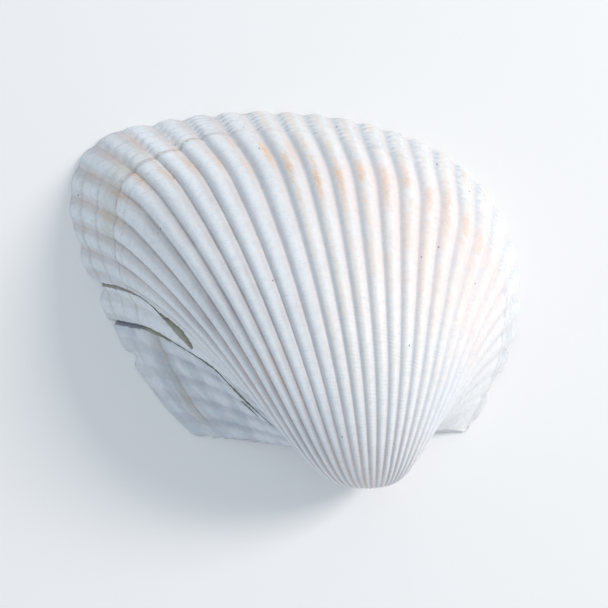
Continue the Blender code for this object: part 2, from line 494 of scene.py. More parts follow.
class Pattern:
    """Where a place lies among the ribs and growth lines. The growth tree and the finishes share it."""

    # Size of the growth line at the growth check, at each rib count.
    CHECK_PLACE: tuple[Point, ...] = (
        (0, 0.93), (5, 0.89), (8.5, 0.866), (11, 0.89), (14, 0.915), (16, 0.94), (20, 0.93), (25, 0.905),
        (29, 0.87), (32, 0.90), (36, 0.92),
    )
    # Growth steps between the check and the margin, at each rib count.
    LAMELLAE: tuple[Point, ...] = ((0, 3.5), (8, 4.0), (14, 6.0), (20, 6.5), (26, 7.0), (36, 5.0))
    # Rib count and size of the growth line in the middle of each muscle scar, and a scar's half-widths.
    MUSCLE_SCARS: tuple[Point, Point] = ((5.4, 0.72), (32.6, 0.70))
    SCAR_REACH: Point = (2.0, 0.085)

    def __init__(self, board: Board, count: Field, size: Field) -> None:
        """Takes the rib count and the size of the growth line as fields of the board's tree."""
        self.board = board
        self.count = count
        self.size = size
        self.phase = count.calc("FRACT")
        self.front = count.smooth(12.0, 19.0)
        self.check = count.along(self.CHECK_PLACE)
        self.band = ((size - self.check) / (1.0 - self.check)).calc("MAXIMUM", 0.0)
        self.crest = self.crest_profile()

    def rough(self, across: float, along: float, seed: float, detail: float = 2.0) -> Field:
        """Noise that is drawn out along the ribs or across them.

        Args:
            across: waves to a rib.
            along: waves to the whole size of the shell.
            seed: which noise.
            detail: how many finer layers it has.

        Returns:
            The noise.
        """
        return self.board.noise(self.board.join(self.count * across, self.size * along, seed), 1.0, detail)

    def crest_profile(self) -> Field:
        """0 in the grooves and 1 on the crests: shouldered to the rear, round to the front."""
        phase = self.phase
        slope = 1.0 - phase.smooth(0.48, 0.92) * 0.5 - phase.smooth(0.90, 1.0) * 0.5
        shouldered = phase.smooth(0.0, 0.20) * slope
        rounded_rib = phase.smooth(0.02, 0.33) * (1.0 - phase).smooth(0.0, 0.42)
        soft = self.front.calc("MAXIMUM", self.band.smooth(0.0, 0.3))
        return shouldered * (1.0 - soft) + rounded_rib * soft

    def near(self, phase: float, width: float) -> Field:
        """1 on the line at this phase of every rib, and falling off over the width."""
        away = (self.count - (phase - 0.5)).calc("FRACT") - 0.5
        return away.bump(0.0, width)

    def between(self, low: float, high: float, blend: float = 1.5) -> Field:
        """1 on the ribs between two counts, with soft ends."""
        half = blend / 2
        ended = self.count.smooth(high - half, high + half)
        return self.count.smooth(low - half, low + half) * (1.0 - ended)

    def lamella(self, lead: Operand) -> Field:
        """0 to 1 across each growth step outside the check, led by the crests."""
        wobble = self.rough(0.8, 22.0, 0.0) * 2.2
        return (self.band * self.count.along(self.LAMELLAE) - self.crest * lead + wobble).calc("FRACT")

    def scars(self, outside: float, inside: float) -> Field:
        """Two rounded patches, 1 inside, where the muscles that close the shell were.

        Args:
            outside: distance from a scar's middle where it ends, with its edge at about 1.
            inside: distance where it is full.

        Returns:
            The patches as a field.
        """
        patches = []
        for count, size in self.MUSCLE_SCARS:
            across, along = (
                away / reach
                for away, reach in zip((self.count - count, self.size - size), self.SCAR_REACH)
            )
            patches.append((across * across + along * along).smooth(outside, inside))
        return patches[0] + patches[1]

    def halts(self) -> Field:
        """Thin lines on the disc where growth paused."""
        first, second = (self.size.bump(self.check - back, 0.003) for back in (0.022, 0.048))
        middle = self.size.bump(0.585, 0.004) * self.between(18.5, 27.0)
        return (first + second * 0.6) * self.between(7.0, 13.5) + middle * 0.3

    def furrows(self) -> Field:
        """Two shallow furrows in the last band of growth, on the rear slope."""
        lines = self.band.bump(0.42, 0.035) + self.band.bump(0.76, 0.035)
        return lines * self.between(5.0, 11.0, 2.0)


class GrowthTree:
    """The Geometry Nodes tree that grows the valve's skin out of a bare grid."""

    # Bites out of the margin: rib count, half-width in ribs, depth in mm, and the size where each starts.
    CHIPS: tuple[tuple[float, float, float, float], ...] = (
        (3.44, 0.22, 1.5, 0.955), (6.25, 0.38, 0.9, 0.96), (8.2, 0.5, 0.3, 0.97), (31.95, 0.22, 0.55, 0.965),
        (33.6, 0.45, 1.2, 0.95), (36.0, 0.6, 0.6, 0.95), (25.6, 0.25, 0.35, 0.98),
    )
    # How far the margin stands out or in from the smooth outline, in mm at each rib count.
    FLARE: tuple[Point, ...] = (
        (0, 0.5), (0.7, 1.05), (1.3, 1.15), (2.2, 0.95), (3, 0.9), (4, 0.6), (5, 0.45), (7.1, 0.6),
        (8.3, 0.1), (9.6, 0.25), (10.6, 0.65), (12, 1.0), (13.4, 0.55), (14.6, 0.15), (18, 0.0),
        (30, 0.0), (33, -0.2), (34.5, -0.35), (36, -0.35),
    )
    # Height of the growth steps outside the check, in mm at each rib count.
    LAMELLA_HEIGHT: tuple[Point, ...] = (
        (0, 0.12), (5, 0.14), (8, 0.12), (12, 0.13), (15, 0.24), (18, 0.36), (28, 0.36), (36, 0.08),
    )
    # How far the disc stands above the last band of growth, in mm at each rib count.
    CHECK_HEIGHT: tuple[Point, ...] = (
        (0, 0.15), (5, 0.25), (8, 0.35), (11, 0.30), (14, 0.14), (18, 0.08), (27, 0.08), (31, 0.14),
        (36, 0.1),
    )

    # The growth sizes that become the tree's inputs: those that are shares or angles, and those in mm.
    SHARES: tuple[str, ...] = ("turn", "front_lag", "late_ribs", "rib_lead", "lamellae", "check_step")
    LENGTHS: tuple[str, ...] = (
        "lean", "shoulder", "rib_height", "disc_lines", "undulation", "edge_round", "crenulation",
        "tooth_depth", "ear_drop", "wedge_drop",
    )

    def __init__(
        self, sizes: GrowthSizes, margin: Margin, materials: dict[Sheet, bpy.types.Material]
    ) -> None:
        """Builds the tree.

        Args:
            sizes: the sizes that become the tree's named inputs.
            margin: for the number of ribs and teeth.
            materials: the finish of each sheet.
        """
        self.tree = bpy.data.node_groups.new("grow_valve", "GeometryNodeTree")
        self.board = Board(self.tree)
        self.sizes = sizes
        self.margin = margin
        self.first_finish = materials[Sheet.OUTER]
        face = self.tree.interface
        face.new_socket("Skin", in_out="INPUT", socket_type="NodeSocketGeometry")
        face.new_socket("Skin", in_out="OUTPUT", socket_type="NodeSocketGeometry")
        self.values = {
            name.replace("_", " ").title(): getattr(sizes, name) * unit
            for names, unit in ((self.SHARES, 1.0), (self.LENGTHS, MM))
            for name in names
        }
        for name in self.values:
            face.new_socket(name, in_out="INPUT", socket_type="NodeSocketFloat")
        self.given = self.board.add("NodeGroupInput")
        self.count = self.read("count")
        self.size = self.read("size")
        self.across = self.read("across")
        self.strength = self.read("strength")
        self.hinge = self.read("hinge")
        self.on_arc = (self.hinge * -1.0).smooth(0.0, 0.5)
        self.pattern = Pattern(self.board, self.count, self.size)
        self.finish(materials)

    def read(self, name: str, kind: str = "FLOAT") -> Field:
        """A stored value of the grid's points."""
        made = self.board.add("GeometryNodeInputNamedAttribute", {"Name": name}, data_type=kind)
        return self.board.out(made, "Attribute")

    def sized(self, name: str) -> Field:
        """One of the tree's named inputs."""
        return self.board.out(self.given, name)

    def rib_relief(self) -> Field:
        """Grooves cut down between the crests, shallower outside the growth check."""
        late = self.size.smooth(self.pattern.check - 0.04, self.pattern.check + 0.05)
        kept = self.sized("Late Ribs") * (self.count.smooth(9.0, 16.0) * 0.4 + 0.6)
        height = self.sized("Rib Height") * (1.0 - late * (1.0 - kept))
        return (self.pattern.crest - 1.0) * height * self.strength

    def growth_relief(self) -> Field:
        """Overlapping growth steps outside the check, and faint uneven lines on the disc."""
        pattern = self.pattern
        step = pattern.lamella(self.sized("Rib Lead"))
        uneven = pattern.rough(0.3, 30.0, 7.0).smooth(0.3, 0.7) * 0.6 + 0.4
        height = self.count.along(self.LAMELLA_HEIGHT) * MM * self.sized("Lamellae")
        tile = step.smooth(0.0, 0.55) * 0.7 + step * 0.3
        steps = tile * step.smooth(1.0, 0.84) * uneven * height * pattern.band.smooth(0.0, 0.08)
        fine = pattern.rough(0.25, 95.0, 5.0, 1.0) - 0.5
        knobs = (pattern.rough(1.6, 60.0, 9.0, 1.0) - 0.5) * pattern.crest
        ear = (self.size * 17.0 + pattern.rough(0.3, 6.0, 2.0) * 2.0).calc("FRACT")
        ear_steps = ear * ear.smooth(1.0, 0.7) * (1.0 - self.count.smooth(5.0, 7.5)) * (0.46 * MM)
        lines = pattern.halts() * (0.09 * MM) + pattern.furrows() * (0.12 * MM)
        return steps + (fine + knobs * 0.8) * self.sized("Disc Lines") + ear_steps - lines

    def check_relief(self) -> Field:
        """The disc stands above the last band of growth."""
        grown = self.size.smooth(self.pattern.check - 0.006, self.pattern.check + 0.004)
        return (1.0 - grown) * self.count.along(self.CHECK_HEIGHT) * MM * self.sized("Check Step")

    def ear_step(self) -> Field:
        """How far the rear ear and the wedge between the cracks have sunk."""
        ear = (1.0 - self.count.smooth(4.7, 5.1)) * self.sized("Ear Drop") * self.size.smooth(0.45, 0.65)
        wedge = (1.0 - self.count.smooth(5.8, 6.6)) * self.sized("Wedge Drop") * self.size.smooth(0.72, 0.80)
        return ear + wedge

    def edge_relief(self) -> Field:
        """The flare of the margin, the bites out of it, and its rounded edge."""
        total = self.count.along(self.FLARE) * MM * self.size.smooth(0.72, 1.0)
        total = total + self.size.smooth(0.955, 0.99) * (0.16 * MM)
        total = total - self.size.smooth(0.990, 1.0) * self.sized("Edge Round")
        for count, width, depth, start in self.CHIPS:
            total = total - self.count.block(count, width) * self.size.smooth(start, 1.0) * (depth * MM)
        return total

    def outer_relief(self) -> Field:
        """Everything that stands on the outer side, for a valve of full size."""
        waves = (self.pattern.rough(0.16, 5.0, 3.0, 1.0) - 0.5) * self.sized("Undulation") * 2.0
        relief = self.rib_relief() + self.growth_relief() + waves + self.check_relief()
        relief = relief - self.ear_step() + self.edge_relief()
        corner = self.hinge.bump(0.0, 0.05) * (1.0 - self.on_arc) * self.size.smooth(0.93, 1.0)
        return relief * self.on_arc - corner * (0.8 * MM)

    def inner_relief(self) -> Field:
        """Crenulations along the inner margin, the pallial line and the two muscle scars."""
        fluted = (self.count * math.tau).calc("COSINE") * self.strength * self.size.smooth(0.86, 0.985)
        scars = self.pattern.scars(1.25, 0.85) * (0.16 * MM)
        between_scars = self.count.smooth(5.5, 7.0) * (1.0 - self.count.smooth(30.5, 32.0))
        line = self.size.bump(0.845, 0.008) * between_scars * (0.07 * MM)
        return fluted * self.sized("Crenulation") + scars + line

    def tooth_height(self) -> Field:
        """How far the sockets between the hinge teeth are sunk below the plate."""
        fanned = (self.hinge - 0.5) * (self.across - 0.6) * 9.0
        wave = ((self.hinge * self.margin.teeth + fanned) * math.tau).calc("COSINE") * 0.5 + 0.5
        row = self.across.smooth(0.27, 0.36) * (1.0 - self.across.smooth(0.80, 0.93))
        length = self.hinge.smooth(0.03, 0.09) * (1.0 - self.hinge.smooth(0.91, 0.97))
        low_middle = 1.0 - self.hinge.bump(0.40, 0.10) * 0.45
        return wave.smooth(0.15, 0.75) * row * length * low_middle * self.sized("Tooth Depth")

    def grown(self, x: Field, y: Field, lift: Field) -> Field:
        """A point of the margin's plane, carried back to its growth line.

        Args:
            x: place along the hinge.
            y: place away from the hinge.
            lift: height above the growth line's plane.

        Returns:
            The point's position.
        """
        apex_x, apex_y, apex_z = (value * MM for value in self.sizes.apex)
        turn = self.size.calc("LOGARITHM", math.e) * self.sized("Turn") * -1.0
        cosine, sine = turn.calc("COSINE"), turn.calc("SINE")
        across, up = x - apex_x, y - apex_y
        lag = across.calc("GREATER_THAN", 0.0) * self.sized("Front Lag")
        young = 1.0 - self.size
        forward = across * self.size.calc("POWER", lag + 1.0)
        forward = forward + young * self.size.calc("SQRT") * self.sized("Lean")
        risen = lift - apex_z
        shoulder = self.read("shoulder") * self.size * young * self.sized("Shoulder") * (1.0 - self.across)
        return self.board.join(
            forward + apex_x,
            self.size * (up * cosine - risen * sine) + apex_y - shoulder,
            self.size * (up * sine + risen * cosine) + apex_z,
        )

    def position(self) -> Field:
        """Where each point of the grid goes before the outer side gets its relief."""
        board = self.board
        x, y, _ = board.split(self.read("point", "FLOAT_VECTOR"))
        out_x, out_y, _ = board.split(self.read("outward", "FLOAT_VECTOR"))
        in_x, in_y, _ = board.split(self.read("inward", "FLOAT_VECTOR"))
        relief = self.inner_relief() * self.across
        wall = self.read("wall") / self.size.calc("SQRT") * self.across
        return self.grown(
            x + out_x * relief + in_x * wall,
            y + out_y * relief + in_y * wall,
            self.tooth_height() * self.across.smooth(0.2, 0.3),
        )

    def raised(self) -> Field:
        """The outer relief as a vector: along the surface's normal, turning level at the margin."""
        board = self.board
        out_x, out_y, _ = board.split(self.read("outward", "FLOAT_VECTOR"))
        turn = self.size.calc("LOGARITHM", math.e) * self.sized("Turn") * -1.0
        level = board.join(out_x, out_y * turn.calc("COSINE"), out_y * turn.calc("SINE"))
        late = self.size.smooth(0.93, 0.998)
        normal = board.out(board.add("GeometryNodeInputNormal"))
        blend = board.add("ShaderNodeMix", {0: late, 4: normal, 5: level}, data_type="VECTOR")
        unit = board.add("ShaderNodeVectorMath", {0: board.out(blend, 1)}, operation="NORMALIZE")
        height = self.outer_relief() * (1.0 - self.across) * self.size
        raised = board.add("ShaderNodeVectorMath", {0: board.out(unit), "Scale": height}, operation="SCALE")
        x, y, z = board.split(board.out(raised))
        above_rim = board.split(board.out(board.add("GeometryNodeInputPosition")))[2]
        return board.join(x, y, z.calc("MAXIMUM", above_rim * -0.4))

    def finish(self, materials: dict[Sheet, bpy.types.Material]) -> None:
        """Moves the points, realises the result and gives each sheet its finish."""
        board = self.board
        centre = self.read("centre", "FLOAT_VECTOR")
        last = board.out(self.given, "Skin")
        for way, vector in (("Position", self.position()), ("Offset", self.raised()), ("Offset", centre)):
            last = board.out(board.add("GeometryNodeSetPosition", {"Geometry": last, way: vector}))
        last = board.out(board.add("GeometryNodeRealizeInstances", {"Geometry": last}))
        sheet = self.read("sheet")
        for kind, finish in materials.items():
            same = {"A": sheet, "B": float(kind.value), "Epsilon": 0.6}
            chosen = board.out(board.add("FunctionNodeCompare", same, operation="EQUAL"))
            dressed = {"Geometry": last, "Selection": chosen, "Material": finish}
            last = board.out(board.add("GeometryNodeSetMaterial", dressed))
        smooth = board.add("GeometryNodeSetShadeSmooth", {"Geometry": last})
        board.add("NodeGroupOutput", {"Skin": board.out(smooth)})

    def grow(self, grid: bpy.types.Object) -> bpy.types.Mesh:
        """Runs the tree on a grid.

        Args:
            grid: the object that holds the bare skin.

        Returns:
            The grown skin as a plain mesh.
        """
        grid.data.materials.append(self.first_finish)
        growth = grid.modifiers.new("grow_valve", "NODES")
        growth.node_group = self.tree
        for item in self.tree.interface.items_tree:
            if item.in_out == "INPUT" and item.name in self.values:
                growth[item.identifier] = self.values[item.name]
        mesh = applied(grid)
        grid.modifiers.remove(growth)
        return mesh


@dataclass(frozen=True)
class Crack:
    """An old crack in the rear slope, seen from above, in mm from mid-length and the hinge line."""

    name: str
    path: tuple[Point, ...]
    widths: tuple[float, ...]
    depth: float = 0.20
    slot: float = 0.36
    slot_width: float = 0.08
    jag: float = 0.06
    top: float = 16.0
    edge_height: float = 0.4

    def blade(self, shift: Sequence[float], skin: BVHTree, face_tone: bpy.types.Material) -> bpy.types.Object:
        """An upright blade along the crack: a broken-out groove with a thin deeper slot in it.

        Args:
            shift: where the outline's zero point lies, in metres.
            skin: the uncut skin, for the height of the shell's face along the crack.
            face_tone: the finish of the broken faces.

        Returns:
            The blade, as an object of its own.
        """
        line = rounded(self.path, 8)
        at = np.linspace(0, len(self.widths) - 1, len(line))
        half = np.interp(at, np.arange(len(self.widths)), self.widths)[:, None] / 2
        along = np.gradient(line, axis=0)
        side = np.stack([-along[:, 1], along[:, 0]], 1) / np.hypot(*along.T)[:, None]
        draw = np.random.default_rng(11)
        jag = np.minimum(self.jag, half * 0.4)
        rough = [draw.uniform(-1, 1, len(line))[:, None] * jag for _ in range(2)]
        inner = half * 0.7
        thin = np.minimum(half * 0.4, self.slot_width / 2)
        middle = line + side * (inner - thin)
        wide, foot = (
            np.vstack([line + side * (reach + rough[0]), (line - side * (reach + rough[1]))[::-1]])
            for reach in (half, inner)
        )
        lips = (middle + side * (thin + rough[0] * 0.5), middle - side * (thin - rough[0] * 0.5))
        slot = np.vstack([lips[0], lips[1][::-1]])
        sides = (line, line + side * half, line - side * half)
        face = [min(self.height(skin, point, shift) for point in across) for across in zip(*sides)]
        face = np.array(face + face[::-1])
        levels = [
            (slot, face - self.slot), (slot, face - self.depth - 0.04), (foot, face - self.depth),
            (wide, face + 0.02), (wide, face * 0 + self.top),
        ]
        made = bmesh.new()
        rings = [
            [
                made.verts.new((x * MM + shift[0], y * MM + shift[1], z * MM))
                for (x, y), z in zip(outline, heights)
            ]
            for outline, heights in levels
        ]
        for lower, upper in zip(rings, rings[1:]):
            for i, corner in enumerate(lower):
                j = (i + 1) % len(lower)
                made.faces.new((corner, lower[j], upper[j], upper[i]))
        last = 2 * len(line) - 1
        for end in (rings[0], rings[-1]):
            for i in range(len(line) - 1):
                made.faces.new((end[i], end[i + 1], end[last - 1 - i], end[last - i]))
        bmesh.ops.recalc_face_normals(made, faces=made.faces)
        mesh = bpy.data.meshes.new(self.name)
        made.to_mesh(mesh)
        made.free()
        mesh.materials.append(face_tone)
        return placed(self.name, mesh)

    def height(self, skin: BVHTree, point: np.ndarray, shift: Sequence[float]) -> float:
        """Height of the shell's face at a point of the plan, in mm.

        Args:
            skin: the uncut skin.
            point: the point, in mm from mid-length and the hinge line.
            shift: where the outline's zero point lies, in metres.

        Returns:
            The height, or that of the margin's edge where the point is past it.
        """
        start = (point[0] * MM + shift[0], point[1] * MM + shift[1], self.top * MM)
        hit = skin.ray_cast(start, (0.0, 0.0, -1.0))[0]
        return hit.z / MM if hit else self.edge_height


@dataclass(frozen=True)
class Palette:
    """Colours of bleached shell, and of the light and shade painted on it, as linear values."""

    chalk: tuple[float, ...] = (0.81, 0.83, 0.85, 1.0)
    # Bluish white, painted on the rear crests and the front ear as a highlight.
    bright: tuple[float, ...] = (0.87, 0.92, 0.97, 1.0)
    cool: tuple[float, ...] = (0.68, 0.73, 0.79, 1.0)
    # Blue grey: painted shade in the troughs, on the rear flanks, at the growth steps' edges and over the
    # rear ear; also the fine growth lines and a random grain.
    shade: tuple[float, ...] = (0.44, 0.50, 0.58, 1.0)
    # Beige grey of the rear ribs' right flanks: part staining, part painted shade.
    beige: tuple[float, ...] = (0.52, 0.47, 0.46, 1.0)
    # Dark lines painted as shade in the grooves between the rear ribs.
    line: tuple[float, ...] = (0.34, 0.29, 0.29, 1.0)
    check: tuple[float, ...] = (0.42, 0.36, 0.29, 1.0)
    clay: tuple[float, ...] = (0.70, 0.52, 0.46, 1.0)
    # Pink: painted warm light on the front ribs' right flanks, and also a blush over the front and a fine
    # grain.
    blush: tuple[float, ...] = (0.84, 0.70, 0.66, 1.0)
    rust: tuple[float, ...] = (0.80, 0.47, 0.24, 1.0)
    ochre: tuple[float, ...] = (0.86, 0.67, 0.44, 1.0)
    moss: tuple[float, ...] = (0.58, 0.58, 0.44, 1.0)
    soot: tuple[float, ...] = (0.10, 0.08, 0.07, 1.0)
    olive: tuple[float, ...] = (0.60, 0.60, 0.54, 1.0)
    lavender: tuple[float, ...] = (0.40, 0.42, 0.48, 1.0)
    porcelain: tuple[float, ...] = (0.86, 0.87, 0.87, 1.0)
    cream: tuple[float, ...] = (0.84, 0.79, 0.70, 1.0)


class ShellGroups:
    """Node groups that more than one of the shell's finishes uses."""

    def __init__(self) -> None:
        """Builds each group once."""
        self.lines = self.growth_lines()
        self.mottle = self.mottling()

    @staticmethod
    def start(
        name: str, inputs: dict[str, tuple[str, float | None]], outputs: Sequence[str]
    ) -> tuple[Board, dict[str, Field]]:
        """Opens a shader node group.

        Args:
            name: the group's name.
            inputs: each input's socket type and first value.
            outputs: the outputs, all numbers.

        Returns:
            The group's board and its inputs as fields.
        """
        tree = bpy.data.node_groups.new(name, "ShaderNodeTree")
        board = Board(tree)
        for label, (kind, value) in inputs.items():
            made = tree.interface.new_socket(label, in_out="INPUT", socket_type=kind)
            if value is not None:
                made.default_value = value
        for label in outputs:
            tree.interface.new_socket(label, in_out="OUTPUT", socket_type="NodeSocketFloat")
        given = board.add("NodeGroupInput")
        return board, {label: board.out(given, label) for label in inputs}

    def growth_lines(self) -> bpy.types.NodeTree:
        """Hair-fine growth lines that follow the size of the growth line."""
        board, given = self.start(
            "growth_lines",
            {
                "Map": ("NodeSocketVector", None), "Lines": ("NodeSocketFloat", 150.0),
                "Waviness": ("NodeSocketFloat", 2.0),
            },
            ("Height", "Line"),
        )
        count, size, _ = board.split(given["Map"])
        wobble = board.noise(board.join(count * 0.8, size * 16.0, 0.0), 1.0, 3.0)
        phase = size * given["Lines"] + wobble * given["Waviness"]
        wave = (phase * math.tau).calc("SINE") * 0.5 + 0.5
        patchy = board.noise(board.join(count * 0.5, size * 25.0, 4.0), 1.0, 2.0).smooth(0.35, 0.65)
        line = wave.smooth(0.85, 1.0) * patchy
        board.add("NodeGroupOutput", {"Height": wave * (patchy * 0.7 + 0.3), "Line": line})
        return board.tree

    def mottling(self) -> bpy.types.NodeTree:
        """Soft cloudiness and a fine chalky grain."""
        board, given = self.start(
            "mottling",
            {
                "Place": ("NodeSocketVector", None), "Cloud Scale": ("NodeSocketFloat", 90.0),
                "Grain Scale": ("NodeSocketFloat", 1400.0),
            },
            ("Cloud", "Grain"),
        )
        cloud = board.noise(given["Place"], given["Cloud Scale"], 3.0)
        grain = board.noise(given["Place"], given["Grain Scale"], 4.0)
        board.add("NodeGroupOutput", {"Cloud": cloud.smooth(0.3, 0.7), "Grain": grain})
        return board.tree


@dataclass(frozen=True)
class Surface:
    """What a finish has to paint with: the material's tree and what varies over the shell."""

    board: Board
    place: Field
    pattern: Pattern
    cloud: Field
    grain: Field
    line: Field


@dataclass(frozen=True)
class Finish:
    """A finish of the shell, built as one material."""

    name: str
    groups: ShellGroups
    palette: Palette = field(default_factory=Palette)
    roughness: float = 0.5
    bump: float = 0.4
    bump_depth: float = 0.05

    def build(self) -> bpy.types.Material:
        """The material with its shader, colour, roughness and bump joined up."""
        made = bpy.data.materials.new(self.name)
        made.use_nodes = True
        board = Board(made.node_tree)
        place = board.out(board.add("ShaderNodeTexCoord"), "Object")
        chart = board.out(board.add("ShaderNodeUVMap", uv_map=SURFACE_MAP))
        lines = board.add("ShaderNodeGroup", node_tree=self.groups.lines)
        plug(board.tree, lines.inputs["Map"], chart)
        mottle = board.add("ShaderNodeGroup", node_tree=self.groups.mottle)
        plug(board.tree, mottle.inputs["Place"], place)
        count, size, _ = board.split(chart)
        surface = Surface(
            board, place, Pattern(board, count, size), board.out(mottle, "Cloud"),
            board.out(mottle, "Grain"), board.out(lines, "Line"),
        )
        colour, rough = self.paint(surface)
        height = board.out(lines, "Height") * 0.5 + surface.grain * 0.5
        bump = board.add(
            "ShaderNodeBump",
            {"Strength": self.bump, "Distance": self.bump_depth * MM, "Height": height},
        )
        shader = board.add("ShaderNodeBsdfPrincipled", {
            "Base Color": colour, "Roughness": rough, "Metallic": 0.0, "IOR": 1.5, "Normal": board.out(bump),
        })
        board.add("ShaderNodeOutputMaterial", {"Surface": board.out(shader)})
        return made

    def paint(self, surface: Surface) -> tuple[Field, Operand]:
        """The colour and roughness, which each finish words for itself."""
        raise NotImplementedError


class BleachedOutside(Finish):
    """The ribbed outer side: cool chalk white, stained along the ribs, with painted highlights and painted
    shade.
    """

    def paint(self, surface: Surface) -> tuple[Field, Operand]:
        """Crests lightened by a painted highlight, grooves darkened by painted shade, and stains on one
        flank of each rib.

        Args:
            surface: the tree and what varies over the shell.

        Returns:
            The colour and the roughness.
        """
        board, ink = surface.board, self.palette
        colour = board.tint(surface.cloud * 0.35, ink.chalk, ink.cool)
        # Painted highlight: the crests, the rear ones most, lightened to a bluish white.
        bright = surface.pattern.crest.smooth(0.55, 0.95) * (1.0 - surface.pattern.front * 0.6)
        colour = board.tint(bright * (surface.cloud * -0.3 + 1.0), colour, ink.bright)
        colour = self.shade_grooves(surface, colour)
        colour = board.tint(surface.line * 0.14, colour, ink.shade)
        colour = self.stains_and_painted_shading(surface, colour)
        colour = self.speck(surface, colour)
        colour = board.tint(surface.grain.smooth(0.42, 0.70) * 0.16, colour, ink.shade)
        return colour, surface.grain * 0.25 + (self.roughness - 0.12)

    def shade_grooves(self, surface: Surface, colour: Field) -> Field:
        """Painted shade between the ribs: beige flanks, part staining and part painted shade, and dark lines
        at the rear; blue-grey troughs and painted warm light on the right flanks at the front; and painted
        shade at the edges of the growth steps.

        Args:
            surface: the tree and what varies over the shell.
            colour: the colour so far.

        Returns:
            The colour with its shaded grooves.
        """
        board, pattern, ink = surface.board, surface.pattern, self.palette
        inside = 1.0 - pattern.band.smooth(0.0, 0.35) * 0.75
        rear = (1.0 - pattern.front) * pattern.count.smooth(6.0, 9.0) * inside
        front = pattern.front * (1.0 - pattern.count.smooth(27.0, 31.0) * 0.7)
        soft = surface.cloud * 0.5 + 0.5
        broken = pattern.rough(1.3, 26.0, 8.0, 3.0).smooth(0.25, 0.7)
        rear_ribs = pattern.count.smooth(6.0, 9.0) * (1.0 - pattern.count.smooth(14.0, 21.0))
        # Right flanks of the rear ribs turn beige grey: part staining, part painted shade, bluer where the
        # shell is young.
        flank = pattern.phase.smooth(0.45, 0.80) * rear_ribs
        grown = pattern.size.smooth(0.60, 0.85)
        tone = board.tint((1.0 - pattern.size.smooth(0.45, 0.75)) * 0.6, ink.beige, ink.shade)
        # Painted shade: a dark line in each groove between the rear ribs.
        dark = pattern.near(0.985, 0.06) * rear * (broken * 0.5 + 0.25) * (1.0 - grown * 0.4)
        # Painted shade at the outer edge of each growth step outside the check.
        step = pattern.lamella(GrowthSizes.rib_lead)
        edge = step.smooth(0.82, 0.95) * (1.0 - step.smooth(0.97, 1.0)) * pattern.band.smooth(0.0, 0.08)
        edge = edge * pattern.count.smooth(6.5, 8.5)
        return board.layered(colour, (
            # Beige flanks: part staining, part painted shade.
            (flank * soft * (broken * 0.35 + 0.65) * (0.84 - grown * 0.24), tone),
            # Painted shade: dark lines in the rear grooves.
            (dark, ink.line),
            # Painted shade: blue-grey troughs on the left flanks of the front ribs.
            (pattern.near(0.04, 0.13) * front * 0.35, ink.shade),
            # Painted warm light on the right flanks of the front ribs.
            (pattern.near(0.84, 0.12) * front * soft * 0.60, ink.blush),
            # Painted shade at the edges of the growth steps.
            (edge * (broken * 0.35 + 0.1 + pattern.front * 0.14), ink.shade),
        ))

    def stains_and_painted_shading(self, surface: Surface, colour: Field) -> Field:
        """Rust and ochre along the ribs, a blush over the front, grime in the growth check, a painted
        highlight on the front ear and painted shade over the rear ear.

        Args:
            surface: the tree and what varies over the shell.
            colour: the colour so far.

        Returns:
            The stained colour.
        """
        board, pattern, ink = surface.board, surface.pattern, self.palette
        count, size = pattern.count, pattern.size
        flecks = pattern.rough(8.0, 150.0, 2.0, 3.0).smooth(0.36, 0.62)
        patch = pattern.rough(1.1, 16.0, 1.0).smooth(0.34, 0.58)
        flank = pattern.near(0.40, 0.15)
        high = flank * size.bump(0.83, 0.055) * pattern.between(17.0, 26.5, 1.0)
        late = pattern.near(0.82, 0.17) * size.bump(0.885, 0.035) * pattern.between(9.5, 18.0)
        rust = (high * 1.25 + late) * patch * (flecks * 0.75 + 0.25)
        faint = flank * pattern.between(17.0, 27.0) * size.smooth(0.30, 0.55) * (patch * 0.7 + 0.3)
        grimed = pattern.near(0.97, 0.16) * size.bump(0.955, 0.022) * pattern.between(6.5, 14.0) * patch
        early = pattern.near(0.90, 0.14) * size.bump(0.455, 0.07) * pattern.between(7.5, 14.0)
        tip = (1.0 - size.smooth(0.22, 0.42)) * pattern.near(0.98, 0.25) * pattern.between(8.0, 28.0)
        warm = pattern.between(20.0, 31.0, 6.0) * size.smooth(0.5, 0.68) * (1.0 - size.smooth(0.84, 0.94))
        mossy = size.bump(pattern.check + 0.02, 0.022) * pattern.between(8.5, 12.5)
        checked = size.bump(pattern.check + 0.003, 0.0035) * pattern.between(5.5, 16.0, 3.0)
        checked = checked * (flecks * 0.5 + 0.4)
        rear_ear = 1.0 - count.smooth(4.6, 5.4)
        wide, thin = size.bump(pattern.check - 0.03, 0.026), size.bump(pattern.check - 0.045, 0.006)
        ear = (wide * 0.5 + thin * 0.4) * rear_ear * count.smooth(0.3, 1.6)
        marks = pattern.halts() * flecks * 0.3 + pattern.furrows() * (flecks * 0.25 + 0.15)
        # Painted shade over the rear ear: bands along its growth lines and lines in its grooves.
        lines = pattern.rough(0.5, 20.0, 6.0, 3.0).smooth(0.40, 0.62)
        ridges = pattern.near(0.0, 0.22) * (1.0 - size.smooth(0.80, 0.90))
        return board.layered(colour, (
            (faint * 0.38, ink.ochre),
            ((rust * 0.9).calc("MINIMUM", 0.75), ink.rust),
            ((grimed + early * (patch * 0.6 + 0.4)) * 0.65, ink.clay),
            (tip * (patch * 0.5 + 0.2), ink.clay),
            (warm * (patch * 0.6 + 0.4) * 0.58, ink.blush),
            # Painted highlight: the front ear lightened.
            (count.smooth(32.0, 34.0) * 0.7, ink.bright),
            (count.smooth(31.0, 34.0) * 0.28, ink.cream),
            (mossy * 0.35, ink.moss),
            (checked * 0.75 + ear + marks, ink.check),
            # Painted shade over the rear ear.
            (rear_ear * (lines * 0.38 + ridges * 0.30 + 0.12), ink.shade),
        ))

